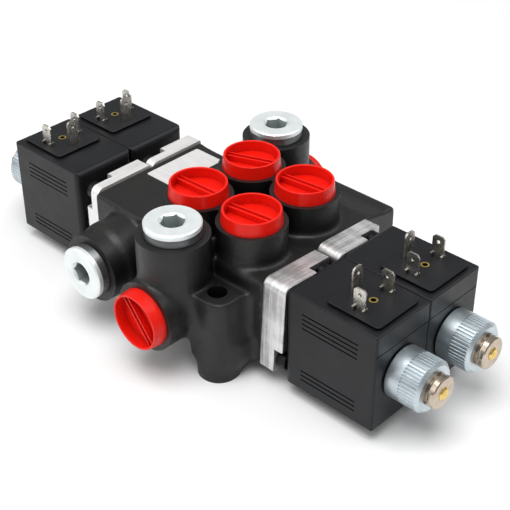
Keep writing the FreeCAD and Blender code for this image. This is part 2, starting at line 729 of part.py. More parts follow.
# ---- coil nuts ----------------------------------------------------------
def coil_nut(side, row):
    x0, x1 = NUT_X
    inner, outer = NUT_EDGE
    nut = revolve_x([(x0, 0), (x0, NUT_R - inner), (x0 + inner, NUT_R), (x1 - outer, NUT_R),
                     (x1, NUT_R - outer), (x1, 0)])
    seal_r, cord_r = NUT_SEAL_RING
    tools = [
        rod_x(x0 - 1, x1 + 1, 0, 0, TUBE_R + RUNNING_GAP),
        rod_x(x0 - 1, NUT_SEAL_X[1], 0, 0, seal_r + cord_r + RUNNING_GAP),
    ]
    k0, k1 = NUT_KNURL_X
    for i in range(NUT_RIDGES):
        groove = rod_x(k0, k1 + outer, 0, NUT_R + KNURL_GROOVE_R / 3, KNURL_GROOVE_R)
        groove.rotate(V(0, 0, 0), V(1, 0, 0), 360.0 * i / NUT_RIDGES)
        tools.append(groove)
    return to_solenoid(nut.cut(tools), side, row)


def nut_seal(side, row):
    ring_r, cord_r = NUT_SEAL_RING
    middle = (NUT_SEAL_X[0] + NUT_SEAL_X[1]) / 2
    ring = Part.makeTorus(ring_r, cord_r, V(middle, 0, 0), V(1, 0, 0))
    return to_solenoid(ring, side, row)


# ---- port caps and plugs ------------------------------------------------
def port_cap(face, direction, bar_angle):
    """Moulded cap: dished top with a grooved bar, tapered skirt and a threaded shank."""
    skirt = Part.makeCone(CAP_FLANGE_R, CAP_RIM_R, CAP_HEIGHT)
    dish = rod_z(CAP_HEIGHT - CAP_FLOOR_DEPTH, CAP_HEIGHT + 1, 0, 0, CAP_RIM_R - CAP_WALL)
    shank = rod_z(-CAP_SHANK_LENGTH, 1, 0, 0, CAP_SHANK_R)
    hollow = rod_z(-CAP_SHANK_LENGTH - 1, -CAP_WALL, 0, 0, CAP_SHANK_R - CAP_SHANK_WALL)
    cap = cut(fuse([skirt, shank]), [dish, hollow])
    reach = CAP_RIM_R
    top = CAP_HEIGHT - CAP_BAR_DROP
    bottom = CAP_HEIGHT - CAP_FLOOR_DEPTH - CAP_WALL / 2
    groove_half_y, groove_depth = CAP_BAR_GROOVE
    bar = box(-reach, reach, -CAP_BAR_HALF_Y, CAP_BAR_HALF_Y, bottom, top)
    bar = bar.cut(box(-reach, reach, -groove_half_y, groove_half_y, top - groove_depth, top + 1))
    inside = rod_z(0, CAP_HEIGHT, 0, 0, CAP_RIM_R - CAP_WALL / 2)
    cap = cap.fuse(bar.common(inside))
    cap = cap.removeSplitter()
    cap = cap.makeFillet(CAP_EDGE_R, edges_at(cap, z=CAP_HEIGHT))
    cap.rotate(V(0, 0, 0), V(0, 0, 1), bar_angle)
    return aim(cap, face, direction)


def steel_plug(face, direction):
    lift = BONDED_SEAL_H
    collar = rod_z(lift, lift + PLUG_COLLAR_H, 0, 0, PLUG_COLLAR_R)
    collar = collar.makeChamfer(PLUG_EDGE, edges_at(collar, z=lift + PLUG_COLLAR_H))
    shank = rod_z(lift - PLUG_SHANK_LENGTH, lift + 1, 0, 0, PLUG_SHANK_R)
    top = lift + PLUG_COLLAR_H
    socket = hexagon(PLUG_HEX, PLUG_HEX_DEPTH + 1)
    socket.translate(V(0, 0, top - PLUG_HEX_DEPTH))
    inner, outer, drop = PLUG_LEAD_IN
    lead_in = Part.makeCone(inner, outer, drop, V(0, 0, top - drop))
    return aim(cut(fuse([collar, shank]), [socket, lead_in]), face, direction)


def bonded_seal(face, direction):
    ring = rod_z(0, BONDED_SEAL_H, 0, 0, BONDED_SEAL_R)
    ring = ring.cut(rod_z(-1, BONDED_SEAL_H + 1, 0, 0, PLUG_SHANK_R + RUNNING_GAP))
    return aim(ring, face, direction)


PLUG_PLACES = [
    ((COLUMN_X, -COLUMN_Y, PORT_FACE_Z), (0, 0, 1)),
    ((-COLUMN_X, COLUMN_Y, PORT_FACE_Z), (0, 0, 1)),
    ((SPARE_PORT_X, -SPARE_PORT_FACE_Y, SIDE_PORT_Z), (0, -1, 0)),
]
CAP_PLACES = {
    "port_cap_a1": ((PORT_A_X, -SPOOL_PITCH / 2, PORT_FACE_Z), (0, 0, 1), 2),
    "port_cap_b1": ((PORT_B_X, -SPOOL_PITCH / 2, PORT_FACE_Z), (0, 0, 1), 8),
    "port_cap_a2": ((PORT_A_X, SPOOL_PITCH / 2, PORT_FACE_Z), (0, 0, 1), 22),
    "port_cap_b2": ((PORT_B_X, SPOOL_PITCH / 2, PORT_FACE_Z), (0, 0, 1), 7),
    "port_cap_pressure": ((COLUMN_X, -SIDE_PORT_FACE_Y, SIDE_PORT_Z), (0, -1, 0), -51),
    "port_cap_tank": ((-COLUMN_X, SIDE_PORT_FACE_Y, SIDE_PORT_Z), (0, 1, 0), 30),
}


# ---- relief valve -------------------------------------------------------
def relief_pieces():
    """Direct-acting relief cartridge, built along +Z from the block's face outwards."""
    step, end = RELIEF_BORE_DEPTH
    stem_r = RELIEF_STEM_R
    stem_hole = stem_r + RUNNING_GAP
    seat_z = -end + RELIEF_SEAT_Z
    cartridge = fuse([
        rod_z(-step, 0, 0, 0, RELIEF_BORE_R - RUNNING_GAP),
        hexagon(RELIEF_HEX, RELIEF_HEX_H),
        rod_z(-end + 2, -step, 0, 0, RELIEF_SEAT_R - 0.5),
    ])
    cartridge = cut(cartridge, [
        rod_z(seat_z, 1, 0, 0, RELIEF_GUIDE_R + 2 * RUNNING_GAP),
        rod_z(0, RELIEF_HEX_H + 1, 0, 0, stem_hole),
        rod_z(-end, seat_z + 1, 0, 0, PILOT_R),
        rod((-RELIEF_SEAT_R - 1, 0, seat_z + 2), (1, 0, 0), RELIEF_DRAIN_R, 2 * RELIEF_SEAT_R + 2),
    ])
    nose_z = seat_z - RELIEF_NOSE_DROP
    shoulder_z = nose_z + RELIEF_NOSE_H
    back_z = nose_z + RELIEF_POPPET_H
    nose = Part.makeCone(*RELIEF_NOSE_R, RELIEF_NOSE_H, V(0, 0, nose_z))
    poppet = fuse([nose, rod_z(shoulder_z, back_z, 0, 0, RELIEF_GUIDE_R)])
    piston_z0, piston_z1, stem_z = RELIEF_ADJUSTER_Z
    piston = rod_z(piston_z0, piston_z1, 0, 0, RELIEF_GUIDE_R)
    adjuster = fuse([piston, rod_z(piston_z1, stem_z, 0, 0, stem_r)])
    slot_w, slot_depth = RELIEF_SLOT
    slot = box(-stem_r - 1, stem_r + 1, -slot_w / 2, slot_w / 2, stem_z - slot_depth, stem_z + 1)
    lock_nut = hexagon(RELIEF_NUT_HEX, RELIEF_NUT_H).cut(rod_z(-1, RELIEF_NUT_H + 1, 0, 0, stem_hole))
    lock_nut.translate(V(0, 0, RELIEF_HEX_H))
    spring = coil_spring(piston_z0 - back_z, *RELIEF_SPRING)
    spring.rotate(V(0, 0, 0), V(0, 1, 0), -90)
    spring.translate(V(0, 0, back_z))
    pieces = {
        "relief_cartridge": cartridge,
        "relief_poppet": poppet,
        "relief_spring": spring,
        "relief_adjuster": cut(adjuster, [slot]),
        "relief_lock_nut": lock_nut,
    }
    place = (RELIEF_X, RELIEF_FACE_Y, RELIEF_Z)
    return {name: aim(shape, place, (0, 1, 0)) for name, shape in pieces.items()}


# ---- label --------------------------------------------------------------
def label_plate():
    x0, x1, y0, y1 = LABEL_BOX
    return rounded_box(x0, x1, y0, y1, DECK_Z, DECK_Z + LABEL_T, (0, 0, 1), LABEL_CORNER_R)


# ---- write every node ---------------------------------------------------
os.makedirs("parts", exist_ok=True)

save("valve_body", [valve_body()])
for row in ROWS:
    save("spool_" + row, [spool(row)])
    save("push_pins_" + row, [push_pin(side, row) for side in SIDES])
    save("spring_seats_" + row, [spring_seat(side, row) for side in SIDES])
for side, row in solenoids():
    tag = "_" + side + "_" + row
    save("solenoid_flange" + tag, [solenoid_flange(side, row)])
    save("solenoid_tube" + tag, [solenoid_tube(side, row)])
    save("armature" + tag, [armature(side, row)])
    save("centring_spring" + tag, [centring_spring(side, row)])
    save("override_pin" + tag, [override_pin(side, row)])
    save("coil_housing" + tag, [to_solenoid(coil_housing(), side, row)])
    save("coil_terminals" + tag, [to_solenoid(blade, side, row) for blade in coil_terminals()])
    save("coil_nut" + tag, [coil_nut(side, row)])
save("coil_windings", [to_solenoid(coil_winding(), side, row) for side, row in solenoids()])
save("coil_yokes", [to_solenoid(coil_yoke(), side, row) for side, row in solenoids()])
save("terminal_inserts", [to_solenoid(terminal_insert(), side, row) for side, row in solenoids()])
save("coil_nut_seals", [nut_seal(side, row) for side, row in solenoids()])
save("flange_seals", [flange_seal(side, row) for side, row in solenoids()])
save("flange_screws", [screw for side, row in solenoids() for screw in flange_screws(side, row)])
for name, (face, direction, bar_angle) in CAP_PLACES.items():
    save(name, [port_cap(face, direction, bar_angle)])
save("steel_plugs", [steel_plug(face, direction) for face, direction in PLUG_PLACES])
save("plug_seals", [bonded_seal(face, direction) for face, direction in PLUG_PLACES])
for name, shape in relief_pieces().items():
    save(name, [shape])
save("label_plate", [label_plate()])
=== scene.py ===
import json
import math

import bmesh
import bpy
from mathutils import Matrix, Vector


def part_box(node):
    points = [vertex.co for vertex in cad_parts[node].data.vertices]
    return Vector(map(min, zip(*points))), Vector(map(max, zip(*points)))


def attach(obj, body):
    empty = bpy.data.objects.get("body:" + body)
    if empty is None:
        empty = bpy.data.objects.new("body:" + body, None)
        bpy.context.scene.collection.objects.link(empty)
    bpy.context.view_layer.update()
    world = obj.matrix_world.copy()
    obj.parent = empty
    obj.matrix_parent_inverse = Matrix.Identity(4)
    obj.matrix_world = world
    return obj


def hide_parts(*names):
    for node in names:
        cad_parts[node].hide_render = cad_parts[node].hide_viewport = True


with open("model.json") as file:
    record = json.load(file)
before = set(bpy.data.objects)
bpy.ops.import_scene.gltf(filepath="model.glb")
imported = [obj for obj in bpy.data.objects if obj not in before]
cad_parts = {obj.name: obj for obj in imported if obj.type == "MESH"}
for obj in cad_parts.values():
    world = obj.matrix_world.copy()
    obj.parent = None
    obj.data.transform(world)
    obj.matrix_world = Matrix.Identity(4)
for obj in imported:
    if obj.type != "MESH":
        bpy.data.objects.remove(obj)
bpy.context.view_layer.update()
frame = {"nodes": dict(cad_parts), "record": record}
record = frame["record"]

MM = 0.001
NODES = frame["nodes"]
MOUNTS = {mount["name"]: mount for mount in record["mounts"]}
X, Z = Vector((1, 0, 0)), Vector((0, 0, 1))
ROWS = ("1", "2")
FLANKS = {"front": -1, "back": 1}
COLUMN_PORTS = {"front": "port_pressure_top", "back": "port_tank_top"}

# ---- sizes of the casting, beyond what the frame gives ----
VOXEL = 0.75 * MM
SHARP_ANGLE = 38
ROUND_SEGMENTS = 96
SMOOTH_FACTOR = 0.5
SMOOTH_STEPS = 26
SMOOTH_SWELL = 0.25 * MM
MACHINING_STOCK = 5 * MM
BELLY_Z = 8 * MM
FOOT_HALF_X = 44 * MM
FOOT_HALF_Y = 20 * MM
FOOT_TOP_Z = 12 * MM
BOSS_R = 16 * MM
BOSS_SINK = 3 * MM
COLUMN_R = 16.5 * MM
COLUMN_FOOT_Z = 31 * MM
SIDE_PORT_RUN = 37 * MM
SPARE_PORT_RUN = 29 * MM
SPARE_COLLAR_R = 18 * MM
SPARE_COLLAR_Y = -50 * MM
LUG_HALF_X = 10 * MM
LUG_HALF_Y = 9 * MM
LUG_CORNER_R = 6.5 * MM
LUG_TOP_Z = 43.5 * MM
LUG_FOOT_R = 9.8 * MM
LUG_FOOT_TOP_Z = 20 * MM
# outline of a lug's foot, (x towards the body's end, z) from the hole's axis, in millimetres
LUG_FLARE = (
    (-16, 20), (-12, 15), (-9.5, 8), (-9, 1), (9, 1), (10.5, 5), (13, 10), (13, 20),
)
POCKET_REACH = 11 * MM
POCKET_LENGTH = 22 * MM
POCKET_TOP_Z = 60 * MM
COLUMN_CUT_Z = 70 * MM
WEB_BOTTOM_Z = 16 * MM
WEB_OUT = 15 * MM
WALL_Y = 35 * MM
# how far each solid reaches into the wall behind it
LUG_ROOT = 1 * MM
SLOPE_ROOT = 2 * MM
RELIEF_ROOT = 5 * MM
RELIEF_START_X = 12 * MM
RELIEF_FACE_Y = 58 * MM
RELIEF_TOP_Z = 48.3 * MM
RELIEF_SLOPE_Y = (38.5 * MM, 51 * MM)
SPARE_CUT = 20 * MM
FINE_VOXEL = 0.6 * MM
FINE_STEPS = 9
FINE_KEEP = 0.5
BROAD_REACH = 19 * MM
BROAD_FADE = 7 * MM
BROAD_STEPS = 90
PORT_R = 10.45 * MM
PORT_DEPTH = 16 * MM
BORE_R = 8 * MM
CUT_MARGIN = 2 * MM

# ---- bonded seals under the plugs ----
SEAL_R = 13 * MM
SEAL_INNER_R = 10.7 * MM
SEAL_H = 3.9 * MM
SEAL_TOP_R = 12 * MM
SEAL_EDGE = 0.3 * MM

# ---- camera ----
CAMERA_AZIMUTH = 43.582
CAMERA_ELEVATION = 34.302
CAMERA_ROLL = -0.101
CAMERA_DISTANCE = 570.0 * MM
CAMERA_TARGET = Vector((9.0, 8.6, 24.0)) * MM
CAMERA_LENS = 83.25
SENSOR_WIDTH = 36

# ---- light: azimuth, elevation, distance, (width, height), power ----
LIGHTS = {
    "key": (20, 74, 1.2, (0.9, 0.9), 13),
    "fill_left": (-45, 35, 1.4, (1.2, 0.8), 4.2),
    "back_right": (150, 50, 1.4, (1.2, 0.6), 5),
}
LIGHT_TARGET = (0, 0, 0.03)
SURROUND = 0.36
FLOOR_HALF = 6.0
FLOOR_THICKNESS = 0.02


# ---------------------------------------------------------------- materials
class Nodes:
    """A small builder for one procedural material."""

    def __init__(self, name):
        self.material = bpy.data.materials.new(name)
        self.material.use_nodes = True
        self.tree = self.material.node_tree
        self.shader = self.tree.nodes["Principled BSDF"]
        self.coords = self.tree.nodes.new("ShaderNodeTexCoord").outputs["Object"]

    def link(self, source, target):
        self.tree.links.new(source, target)

    def set(self, **values):
        for name, value in values.items():
            socket = self.shader.inputs[name.replace("_", " ")]
            if isinstance(value, bpy.types.NodeSocket):
                self.link(value, socket)
            else:
                socket.default_value = value

    def stretched(self, scale):
        node = self.tree.nodes.new("ShaderNodeMapping")
        node.inputs["Scale"].default_value = scale
        self.link(self.coords, node.inputs["Vector"])
        return node.outputs["Vector"]

    def noise(self, scale, detail=3.0, roughness=0.55, stretch=None):
        node = self.tree.nodes.new("ShaderNodeTexNoise")
        node.inputs["Scale"].default_value = scale
        node.inputs["Detail"].default_value = detail
        node.inputs["Roughness"].default_value = roughness
        self.link(self.stretched(stretch) if stretch else self.coords, node.inputs["Vector"])
        return node.outputs["Fac"]

    def range(self, value, low, high, to_low, to_high):
        node = self.tree.nodes.new("ShaderNodeMapRange")
        self.link(value, node.inputs["Value"])
        for name, number in zip(("From Min", "From Max", "To Min", "To Max"), (low, high, to_low, to_high)):
            node.inputs[name].default_value = number
        return node.outputs["Result"]

    def mix(self, factor, first, second):
        node = self.tree.nodes.new("ShaderNodeMix")
        node.data_type = "RGBA"
        self.link(factor, node.inputs["Factor"])
        for socket, colour in ((node.inputs[6], first), (node.inputs[7], second)):
            if isinstance(colour, bpy.types.NodeSocket):
                self.link(colour, socket)
            else:
                socket.default_value = (*colour, 1.0)
        return node.outputs[2]

    def math(self, operation, first, second):
        node = self.tree.nodes.new("ShaderNodeMath")
        node.operation = operation
        for socket, value in zip(node.inputs, (first, second)):
            if isinstance(value, bpy.types.NodeSocket):
                self.link(value, socket)
            else:
                socket.default_value = value
        return node.outputs["Value"]

    def bump(self, *layers):
        """Layers are (height, depth in metres)."""
        normal = None
        for height, depth in layers:
            node = self.tree.nodes.new("ShaderNodeBump")
            node.inputs["Strength"].default_value = 1.0
            node.inputs["Distance"].default_value = depth
            self.link(height, node.inputs["Height"])
            if normal:
                self.link(normal, node.inputs["Normal"])
            normal = node.outputs["Normal"]
        self.link(normal, self.shader.inputs["Normal"])

    def recess(self, reach, low, high):
        """Falls from 1 in the open to 0 deep inside sockets and corners; it masks where shade is painted.
        """
        node = self.tree.nodes.new("ShaderNodeAmbientOcclusion")
        node.samples = 8
        node.inputs["Distance"].default_value = reach
        return self.range(node.outputs["AO"], low, high, 0.0, 1.0)

    def sharp_edge_mask(self, low, high):
        """Rises from 0 to 1 on sharp outward edges."""
        node = self.tree.nodes.new("ShaderNodeNewGeometry")
        return self.range(node.outputs["Pointiness"], low, high, 0.0, 1.0)


def paint_material():
    """Black paint over a cast skin, with painted shade in the corners; the edges are lighter, partly rubbed
    paint and partly a painted highlight.
    """
    m = Nodes("body_paint")
    tone = m.range(m.noise(35, 4), 0.35, 0.7, 0, 1)
    open_tone = m.mix(tone, (0.0095, 0.0095, 0.0092), (0.0145, 0.0142, 0.0136))
    # edges lighter: partly rubbed paint, partly a painted highlight on the rims
    rubbed_and_highlit = m.mix(m.sharp_edge_mask(0.54, 0.62), open_tone, (0.035, 0.034, 0.033))
    # painted shade: the colour sinks to near black in corners and pockets
    m.set(Base_Color=m.mix(m.recess(0.02, 0.25, 0.85), (0.003, 0.003, 0.003), rubbed_and_highlit))
    m.set(Roughness=m.range(m.noise(160, 3), 0.3, 0.7, 0.34, 0.50), Specular_IOR_Level=0.36)
    m.bump((m.noise(220, 3), 0.00022), (m.noise(900, 2), 0.00006))
    return m.material


def coil_material():
    """Moulded plastic with a fine spark-eroded grain."""
    m = Nodes("coil_plastic")
    tone = m.range(m.noise(30, 4), 0.35, 0.7, 0, 1)
    open_tone = m.mix(tone, (0.0075, 0.0080, 0.0096), (0.0105, 0.0112, 0.0134))
    # painted shade: the colour drops to near black in recesses and corners
    m.set(Base_Color=m.mix(m.recess(0.006, 0.3, 0.9), (0.002, 0.002, 0.002), open_tone))
    m.set(Roughness=m.range(m.noise(90, 4), 0.3, 0.7, 0.32, 0.44), Specular_IOR_Level=0.27)
    m.bump((m.noise(2600, 2), 0.00004), (m.noise(60, 2), 0.00015))
    return m.material


def cap_material():
    """Glossy polyethylene."""
    m = Nodes("cap_plastic")
    tone = m.range(m.noise(120, 4), 0.3, 0.7, 0, 1)
    open_tone = m.mix(tone, (0.72, 0.0085, 0.0028), (0.80, 0.0110, 0.0042))
    # painted shade: the red darkens inside the dish and its corners
    m.set(Base_Color=m.mix(m.recess(0.006, 0.1, 0.8), (0.45, 0.004, 0.002), open_tone))
    m.set(Roughness=m.range(m.noise(300, 3), 0.3, 0.7, 0.26, 0.38), Specular_IOR_Level=0.27)
    m.bump((m.noise(420, 2), 0.00006))
    return m.material


def zinc_material(name, dark, light, roughness, metallic, socket_shade):
    """Bluish zinc plating; the last colour is painted shade, the tone it sinks to inside sockets and
    grooves.
    """
    m = Nodes(name)
    mottle = m.range(m.noise(110, 3), 0.35, 0.65, 0, 1)
    plating = m.mix(mottle, dark, light)
    worn = m.mix(m.sharp_edge_mask(0.53, 0.60), plating, tuple(min(1.0, c * 1.12) for c in light))
    # painted shade inside sockets and grooves
    m.set(Metallic=metallic, Base_Color=m.mix(m.recess(0.010, 0.25, 0.9), socket_shade, worn))
    m.set(Roughness=m.range(m.noise(260, 3), 0.3, 0.7, roughness - 0.03, roughness + 0.06))
    m.bump((m.noise(400, 2), 0.000012))
    return m.material


def knurled_zinc_material():
    """Bluish satin zinc plating, with shade painted along the bottom of every groove."""
    m = Nodes("zinc_nut")
    mottle = m.range(m.noise(60, 3), 0.35, 0.65, 0, 1)
    plating = m.mix(mottle, (0.50, 0.57, 0.61), (0.62, 0.69, 0.73))
    scuffed = m.mix(m.range(m.noise(700, 4), 0.60, 0.70, 0, 1), plating, (0.70, 0.76, 0.79))
    # painted shade along the knurl grooves
    m.set(Metallic=0.95, Base_Color=m.mix(m.recess(0.0012, 0.45, 0.95), (0.16, 0.20, 0.22), scuffed))
    m.set(Roughness=m.range(m.noise(200, 3), 0.3, 0.7, 0.33, 0.40))
    m.bump((m.noise(500, 2), 0.000012))
    return m.material


def brushed_material(name, dark, light, roughness, metallic, recess_shade):
    """Sawn and brushed bar: streaks run up the sides and across the top."""
    m = Nodes(name)
    streak = m.noise(1.0, 5, 0.7, stretch=(800, 35, 35))
    broad = m.noise(1.0, 3, 0.6, stretch=(50, 130, 70))
    cross = m.noise(1.0, 4, 0.6, stretch=(60, 500, 500))
    tone = m.math("ADD", m.math("MULTIPLY", streak, 0.55), m.math("MULTIPLY", broad, 0.45))
    base = m.mix(m.range(tone, 0.42, 0.57, 0, 1), dark, light)
    worn = m.mix(m.range(m.noise(240, 4), 0.62, 0.72, 0, 0.6), base, dark)
    # painted shade: the colour falls to the recess shade in corners and gaps
    m.set(Metallic=metallic, Base_Color=m.mix(m.recess(0.008, 0.2, 0.8), recess_shade, worn))
    m.set(Roughness=m.range(streak, 0.3, 0.7, roughness - 0.08, roughness + 0.12))
    m.bump((streak, 0.00006), (cross, 0.00002))
    return m.material


def plain_metal(name, colour, roughness, scale=900):
    m = Nodes(name)
    darker = tuple(c * 0.75 for c in colour)
    sunk_shade = tuple(c * 0.3 for c in colour)
    tone = m.mix(m.range(m.noise(scale, 4), 0.3, 0.7, 0, 1), darker, colour)
    # painted shade: the colour falls to a third in recesses and corners
    m.set(Metallic=1.0, Base_Color=m.mix(m.recess(0.004, 0.15, 0.7), sunk_shade, tone))
    m.set(Roughness=m.range(m.noise(scale * 0.6, 3), 0.3, 0.7, roughness - 0.06, roughness + 0.1))
    m.bump((m.noise(scale * 2, 2), 0.00003))
    return m.material


def seal_material():
    """Blackened steel ring with a dull sheen."""
    m = Nodes("bonded_seal")
    m.set(Metallic=0.8, Base_Color=m.mix(m.noise(200, 3), (0.12, 0.125, 0.13), (0.17, 0.175, 0.18)))
    m.set(Roughness=m.range(m.noise(300, 3), 0.3, 0.7, 0.26, 0.36))
    m.bump((m.noise(900, 2), 0.00002))
    return m.material


def rubber_material():
    m = Nodes("rubber")
    m.set(Base_Color=m.mix(m.noise(400, 3), (0.015, 0.015, 0.015), (0.03, 0.03, 0.03)))
    m.set(Roughness=m.range(m.noise(700, 3), 0.3, 0.7, 0.5, 0.7))
    m.bump((m.noise(1500, 2), 0.00004))
    return m.material


def label_material():
    """Blank brushed foil."""
    m = Nodes("label")
    streak = m.noise(1.0, 4, stretch=(60, 900, 60))
    foil = m.mix(m.range(streak, 0.3, 0.7, 0, 1), (0.56, 0.55, 0.54), (0.70, 0.69, 0.68))
    m.set(Metallic=0.1, Base_Color=foil)
    m.set(Roughness=m.range(m.noise(300, 3), 0.3, 0.7, 0.40, 0.55))
    m.bump((streak, 0.00002))
    return m.material


MATERIALS = {
    "body_paint": paint_material(),
    "coil_plastic": coil_material(),
    "cap_plastic": cap_material(),
    # the last colour is the painted shade inside the hex sockets
    "zinc_steel": zinc_material(
        "zinc_steel", (0.70, 0.75, 0.75), (0.82, 0.86, 0.86), 0.38, 0.5, (0.20, 0.24, 0.23)),
    "zinc_nut": knurled_zinc_material(),
    "bonded_seal": seal_material(),
    "rubber": rubber_material(),
    "black_screw": plain_metal("black_screw", (0.035, 0.035, 0.038), 0.38),
    "copper": plain_metal("copper", (0.72, 0.34, 0.18), 0.35),
    "soft_iron": plain_metal("soft_iron", (0.36, 0.36, 0.37), 0.4),
    "hard_steel": plain_metal("hard_steel", (0.55, 0.55, 0.57), 0.2),
    "spring_steel": plain_metal("spring_steel", (0.42, 0.42, 0.44), 0.3),
    "brass": plain_metal("brass", (0.88, 0.64, 0.20), 0.25),
    "tube_steel": plain_metal("tube_steel", (0.60, 0.50, 0.40), 0.2, 300),
    "tinned_blade": plain_metal("tinned_blade", (0.66, 0.64, 0.59), 0.28, 700),
    # the last colour of each is the painted shade in recesses
    "aluminium": brushed_material(
        "aluminium", (0.48, 0.48, 0.48), (0.86, 0.86, 0.86), 0.34, 0.75, (0.08, 0.08, 0.08)),
    "aluminium_pale": brushed_material(
        "aluminium_pale", (0.86, 0.85, 0.84), (0.94, 0.93, 0.92), 0.42, 0.6, (0.30, 0.29, 0.28)),
    "label": label_material(),
}


def paint_cad_nodes():
    for row in record["subparts"]:
        node = NODES[row["node"]]
        node.data.materials.clear()
        node.data.materials.append(MATERIALS[row["material_slot"]])


# ---------------------------------------------------------------- mesh helpers
def object_from(bm, name):
    mesh = bpy.data.meshes.new(name)
    bm.to_mesh(mesh)
    bm.free()
    piece = bpy.data.objects.new(name, mesh)
    bpy.context.scene.collection.objects.link(piece)
    return piece


def add_box(bm, low, high):
    low, high = Vector(low), Vector(high)
    size = high - low
    place = Matrix.Translation((low + high) / 2) @ Matrix.Diagonal((*size, 1))
    bmesh.ops.create_cube(bm, size=1, matrix=place)


def add_block(bm, first, second):
    """A box between two opposite corners, given in any order."""
    pairs = [sorted(pair) for pair in zip(first, second)]
    add_box(bm, [pair[0] for pair in pairs], [pair[1] for pair in pairs])


def add_rod(bm, start, end, radius):
    start, end = Vector(start), Vector(end)
    along = end - start
    turn = Z.rotation_difference(along).to_matrix().to_4x4()
    place = Matrix.Translation((start + end) / 2) @ turn
    bmesh.ops.create_cone(
        bm, cap_ends=True, segments=ROUND_SEGMENTS, radius1=radius, radius2=radius, depth=along.length,
        matrix=place)


def add_extrusion(bm, near_points, far_points):
    """Joins two matching outlines into a closed solid."""
    near = [bm.verts.new(point) for point in near_points]
    far = [bm.verts.new(point) for point in far_points]
    bm.faces.new(near)
    bm.faces.new(far[::-1])
    for i in range(len(near)):
        j = (i + 1) % len(near)
        bm.faces.new((near[j], near[i], far[i], far[j]))


def add_ring(bm, place, axis, outline):
    """Turns a closed outline of (radius, height) points about an axis."""
    turn = Z.rotation_difference(axis).to_matrix()
    rings = []
    for i in range(ROUND_SEGMENTS):
        spin = Matrix.Rotation(math.tau * i / ROUND_SEGMENTS, 3, "Z")
        rings.append([bm.verts.new(place + turn @ (spin @ Vector((r, 0, h)))) for r, h in outline])
    for i in range(ROUND_SEGMENTS):
        here, there = rings[i], rings[(i + 1) % ROUND_SEGMENTS]
        for j in range(len(outline)):
            k = (j + 1) % len(outline)
            bm.faces.new((here[j], there[j], there[k], here[k]))
    bmesh.ops.recalc_face_normals(bm, faces=bm.faces)


def apply_modifiers(piece):
    graph = bpy.context.evaluated_depsgraph_get()
    mesh = bpy.data.meshes.new_from_object(piece.evaluated_get(graph))
    piece.modifiers.clear()
    old = piece.data
    piece.data = mesh
    bpy.data.meshes.remove(old)


def carve(piece, cutter, operation):
    modifier = piece.modifiers.new("carve", "BOOLEAN")
    modifier.operation = operation
    modifier.solver = "EXACT"
    modifier.object = cutter
    apply_modifiers(piece)
    bpy.data.objects.remove(cutter)


def smooth_shading(piece):
    """Smooth faces with sharp machined edges; normals follow the larger faces."""
    mesh = piece.data
    mesh.polygons.foreach_set("use_smooth", [True] * len(mesh.polygons))
    mesh.set_sharp_from_angle(angle=math.radians(SHARP_ANGLE))
    weighted = piece.modifiers.new("normals", "WEIGHTED_NORMAL")
    weighted.keep_sharp = True
    apply_modifiers(piece)


# ---------------------------------------------------------------- casting
def mount_place(name):
    mount = MOUNTS[name]
    return Vector(mount["pos_m"]), Vector(mount["axis"])


def rough_casting():
    """The casting's solids before its fillets, with stock left on every machined face."""
    bm = bmesh.new()
    swell = SMOOTH_SWELL
    end_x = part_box("valve_body")[1].x
    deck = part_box("label_plate")[0].z
    half_x = end_x + MACHINING_STOCK
    half_y = WALL_Y + swell
    add_box(bm, (-half_x, -half_y, BELLY_Z - swell), (half_x, half_y, deck + swell))
    add_box(bm, (-FOOT_HALF_X, -FOOT_HALF_Y, -MACHINING_STOCK), (FOOT_HALF_X, FOOT_HALF_Y, FOOT_TOP_Z))
    for name in ("port_a1", "port_b1", "port_a2", "port_b2", "port_pressure_top", "port_tank_top"):
        place, axis = mount_place(name)
        column = "top" in name
        radius = (COLUMN_R if column else BOSS_R) + swell
        foot = COLUMN_FOOT_Z if column else deck - BOSS_SINK
        add_rod(bm, (place.x, place.y, foot), place + axis * MACHINING_STOCK, radius)
    for name in ("port_pressure", "port_tank"):
        place, axis = mount_place(name)
        add_rod(bm, place - axis * SIDE_PORT_RUN, place + axis * MACHINING_STOCK, COLUMN_R + swell)
    place, axis = mount_place("port_spare")
    root = place - axis * SPARE_PORT_RUN
    add_rod(bm, root, place + axis * MACHINING_STOCK, COLUMN_R + swell)
    add_rod(bm, root, (place.x, SPARE_COLLAR_Y, place.z), SPARE_COLLAR_R + swell)
    add_relief_block(bm, end_x + swell, deck + swell, RELIEF_TOP_Z + swell)
    for flank in FLANKS:
        add_lug(bm, flank)
    return object_from(bm, "valve_body_casting")


def add_relief_block(bm, end_x, deck, top):
    """The raised block of the relief valve, with the slope that rises to it from the deck."""
    wall = WALL_Y - SLOPE_ROOT
    root = WALL_Y - RELIEF_ROOT
    slope_start, slope_end = RELIEF_SLOPE_Y
    add_box(bm, (RELIEF_START_X, root, BELLY_Z - SMOOTH_SWELL), (end_x, RELIEF_FACE_Y + SMOOTH_SWELL, top))
    outline = [(wall, BELLY_Z), (wall, deck), (slope_start, deck), (slope_end, top), (slope_end, BELLY_Z)]
    add_extrusion(bm, [(RELIEF_START_X, y, z) for y, z in outline], [(end_x, y, z) for y, z in outline])


